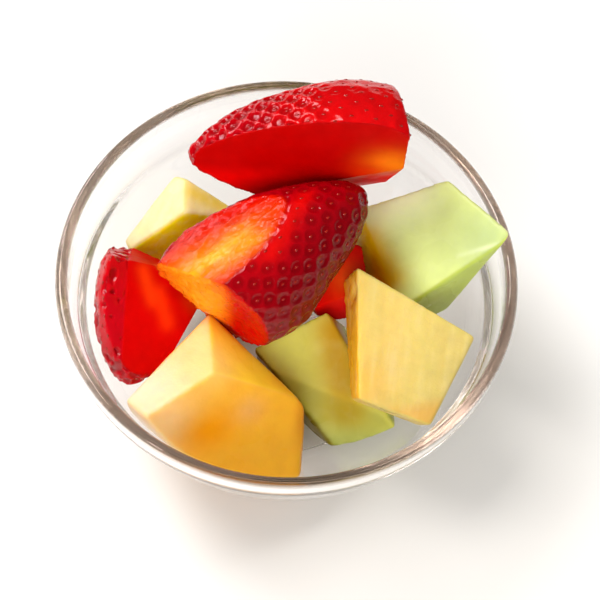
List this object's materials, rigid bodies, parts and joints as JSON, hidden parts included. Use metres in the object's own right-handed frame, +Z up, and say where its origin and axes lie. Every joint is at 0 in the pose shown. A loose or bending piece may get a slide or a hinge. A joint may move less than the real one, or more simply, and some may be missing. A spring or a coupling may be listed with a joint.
{
  "type": "fruit salad",
  "caption": "Cut strawberry, melon and pineapple pieces heaped in a small clear glass bowl.",
  "frame": {"origin": "middle of the bowl's base, on the surface that it stands on", "axes": "+Z up; -Y is the side that the bowl is seen from, with the biggest strawberry piece at the back, toward +Y"},
  "size_m": [0.1, 0.1, 0.0745],
  "materials": {
    "glass": "clear, polished",
    "cantaloupe": "moist orange melon flesh",
    "honeydew": "moist pale green melon flesh",
    "pineapple": "moist yellow fibrous flesh",
    "strawberry": "wet red skin and cut flesh"
  },
  "bodies": {
    "root": {"bowl": "glass", "cantaloupe": "cantaloupe", "honeydew_back": "honeydew", "honeydew_front": "honeydew", "pineapple_chunk": "pineapple", "pineapple_slab": "pineapple", "strawberry_middle": "strawberry", "strawberry_side": "strawberry", "strawberry_top": "strawberry", "strawberry_under": "strawberry"}
  },
  "joints": []
}
